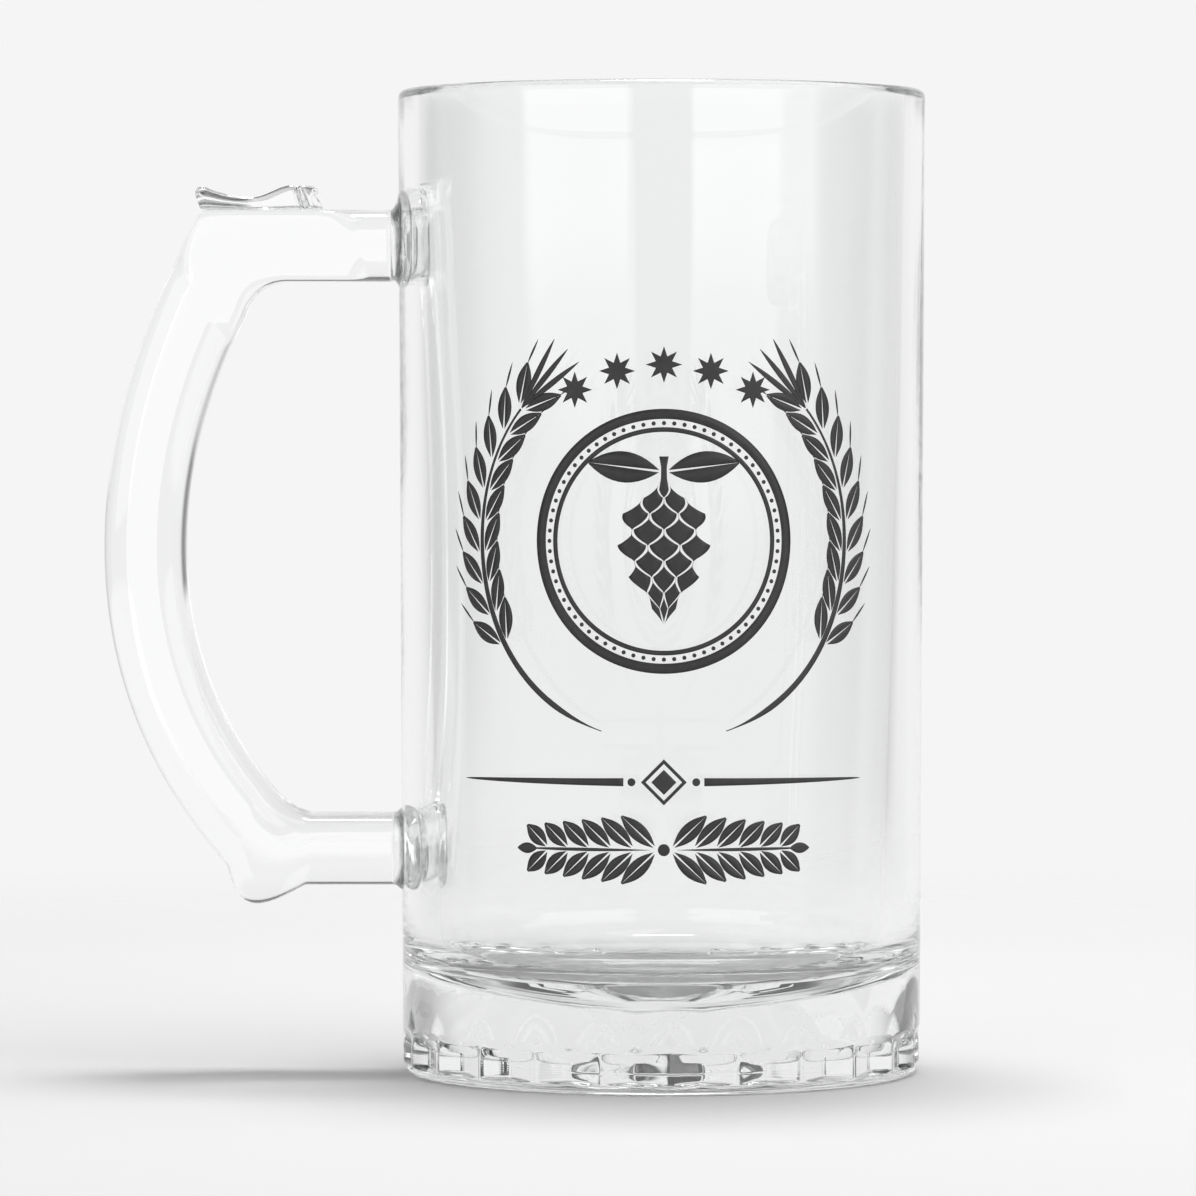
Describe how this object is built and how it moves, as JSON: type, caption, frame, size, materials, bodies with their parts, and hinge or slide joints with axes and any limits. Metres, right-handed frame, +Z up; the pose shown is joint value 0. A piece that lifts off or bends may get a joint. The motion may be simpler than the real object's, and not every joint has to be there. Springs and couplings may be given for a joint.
{
  "type": "beer mug",
  "caption": "Tall straight-sided glass beer mug on a lobed foot, with a solid glass bow handle, a thumb rest and a dark printed medallion on the front.",
  "frame": {"origin": "on the table, in the middle of the footprint box of tumbler and handle together; the tumbler's axis stands 22.45 mm along +X from it", "axes": "+Z up along the tumbler's axis; the handle points to -X; the printed front faces -Y"},
  "size_m": [0.1254, 0.0805, 0.15],
  "materials": {
    "clear_glass": "clear pressed soda-lime glass, fire polished",
    "charcoal_enamel": "fired-on charcoal enamel print, satin"
  },
  "bodies": {
    "root": {"glass_body": "clear_glass", "handle": "clear_glass", "thumb_rest": "clear_glass", "upper_seal": "clear_glass", "lower_seal": "clear_glass", "print_ring": "charcoal_enamel", "print_inner_ring": "charcoal_enamel", "print_hop_cone": "charcoal_enamel", "print_barley_left": "charcoal_enamel", "print_barley_right": "charcoal_enamel", "print_rule": "charcoal_enamel", "print_sprig": "charcoal_enamel", "print_star_1": "charcoal_enamel", "print_star_2": "charcoal_enamel", "print_star_3": "charcoal_enamel", "print_star_4": "charcoal_enamel", "print_star_5": "charcoal_enamel"}
  },
  "joints": []
}
